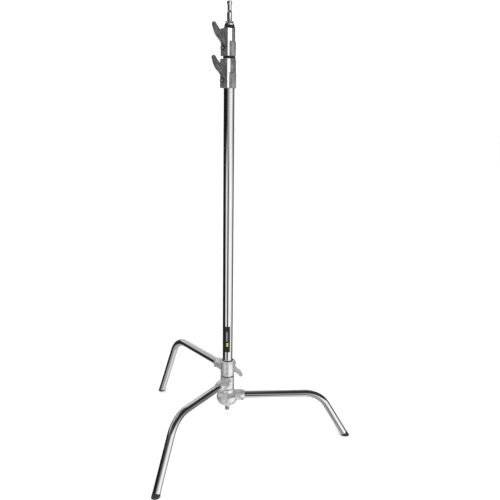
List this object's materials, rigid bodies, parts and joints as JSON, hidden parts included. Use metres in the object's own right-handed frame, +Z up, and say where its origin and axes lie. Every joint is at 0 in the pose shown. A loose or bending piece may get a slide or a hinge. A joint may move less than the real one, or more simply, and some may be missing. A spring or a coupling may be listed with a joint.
{
  "type": "c stand",
  "caption": "Studio grip stand: sliding-leg base of bent chromed legs, column with telescoping risers, lever clamps and a top spigot.",
  "frame": {"origin": "middle of the footprint's bounding box, on the floor", "axes": "+Z up along the column; the lower, fixed leg points along +X (2 degrees off); +Y is the other side from the clamp levers"},
  "size_m": [0.7323, 0.7469, 1.476],
  "materials": {
    "chrome_tube": "polished chrome plate on steel tube",
    "satin_casting": "satin silver casting, slightly grained",
    "grey_casting": "satin grey casting",
    "steel_fastener": "bright plated steel",
    "brass_shoe": "plain turned brass",
    "black_plastic": "moulded black nylon",
    "black_rubber": "matte black rubber",
    "label_film": "printed black film"
  },
  "bodies": {
    "column": {"column_tube": "chrome_tube", "column_end_plug": "black_plastic", "column_label": "label_film", "column_collar": "grey_casting", "column_collar_plate": "satin_casting", "column_collar_screw": "steel_fastener", "column_collar_ring": "black_plastic", "lower_hub": "satin_casting", "lower_leg_tube": "chrome_tube", "lower_leg_foot": "black_rubber", "lower_leg_screw": "steel_fastener", "lower_hub_washer": "black_plastic", "hub_retaining_ring": "steel_fastener", "base_bolt": "steel_fastener", "base_bolt_washer": "steel_fastener", "base_bolt_nut": "steel_fastener"},
    "riser_1": {"riser_1_tube": "chrome_tube", "riser_1_guide": "black_plastic", "riser_collar": "grey_casting", "riser_collar_plate": "satin_casting", "riser_collar_screw": "steel_fastener", "riser_top_cap": "black_plastic"},
    "riser_2": {"riser_2_tube": "chrome_tube", "riser_2_guide": "black_plastic", "spigot": "chrome_tube", "spigot_cross_pin": "steel_fastener"},
    "middle_leg": {"middle_hub": "satin_casting", "middle_hub_screw": "steel_fastener", "middle_leg_tube": "chrome_tube", "middle_leg_foot": "black_rubber", "middle_leg_screw": "steel_fastener"},
    "slide_ring": {"slide_liner": "black_plastic"},
    "top_leg": {"top_hub": "satin_casting", "top_leg_tube": "chrome_tube", "top_leg_foot": "black_rubber", "top_leg_screw": "steel_fastener"},
    "column_lever": {"column_lever": "satin_casting", "column_clamp_stud": "steel_fastener", "column_lever_washer": "black_plastic", "column_lever_nut": "steel_fastener"},
    "riser_lever": {"riser_lever": "satin_casting", "riser_clamp_stud": "steel_fastener", "riser_lever_washer": "black_plastic", "riser_lever_nut": "steel_fastener"},
    "base_lever": {"base_lever": "satin_casting", "base_clamp_stud": "steel_fastener", "base_lever_washer": "black_plastic", "base_lever_nut": "steel_fastener"},
    "column_shoe": {"column_brake_shoe": "brass_shoe"},
    "riser_shoe": {"riser_brake_shoe": "brass_shoe"},
    "base_shoe": {"base_brake_shoe": "brass_shoe"}
  },
  "joints": [
    {"name": "riser_1_slide", "type": "slide", "parent": "column", "child": "riser_1", "axis": [0, 0, 1], "range_m": [0, 0.9]},
    {"name": "riser_2_slide", "type": "slide", "parent": "riser_1", "child": "riser_2", "axis": [0, 0, 1], "range_m": [0, 0.88]},
    {"name": "middle_leg_fold", "type": "hinge", "parent": "column", "child": "middle_leg", "pos_m": [-0.0788, 0.0128, 0.207], "axis": [0, 0, 1], "range_deg": [0, 110]},
    {"name": "top_leg_slide", "type": "slide", "parent": "column", "child": "slide_ring", "axis": [0, 0, 1], "range_m": [0, 0.25]},
    {"name": "top_leg_fold", "type": "hinge", "parent": "slide_ring", "child": "top_leg", "pos_m": [-0.0788, 0.0128, 0.261], "axis": [0, 0, -1], "range_deg": [0, 122]},
    {"name": "column_shoe_slide", "type": "slide", "parent": "column", "child": "column_shoe", "axis": [-0.6018, -0.7986, 0], "range_m": [0, 0.0006]},
    {"name": "column_lever_turn", "type": "hinge", "parent": "column", "child": "column_lever", "pos_m": [-0.09445, -0.00796, 1.238], "axis": [-0.6018, -0.7986, 0], "range_deg": [0, 150]},
    {"name": "riser_shoe_slide", "type": "slide", "parent": "riser_1", "child": "riser_shoe", "axis": [-0.6018, -0.7986, 0], "range_m": [0, 0.0006]},
    {"name": "riser_lever_turn", "type": "hinge", "parent": "riser_1", "child": "riser_lever", "pos_m": [-0.09324, -0.00637, 1.335], "axis": [-0.6018, -0.7986, 0], "range_deg": [0, 150]},
    {"name": "base_shoe_slide", "type": "slide", "parent": "top_leg", "child": "base_shoe", "axis": [0.6018, 0.7986, 0], "range_m": [0, 0.0006]},
    {"name": "base_lever_turn", "type": "hinge", "parent": "top_leg", "child": "base_lever", "pos_m": [-0.06135, 0.03596, 0.263], "axis": [0.6018, 0.7986, 0], "range_deg": [0, 150]}
  ],
  "couplings": [
    {"joint": "column_shoe_slide", "follows": "column_lever_turn", "m_per_rad": 0.00019894},
    {"joint": "riser_shoe_slide", "follows": "riser_lever_turn", "m_per_rad": 0.00019894},
    {"joint": "base_shoe_slide", "follows": "base_lever_turn", "m_per_rad": 0.00019894}
  ]
}
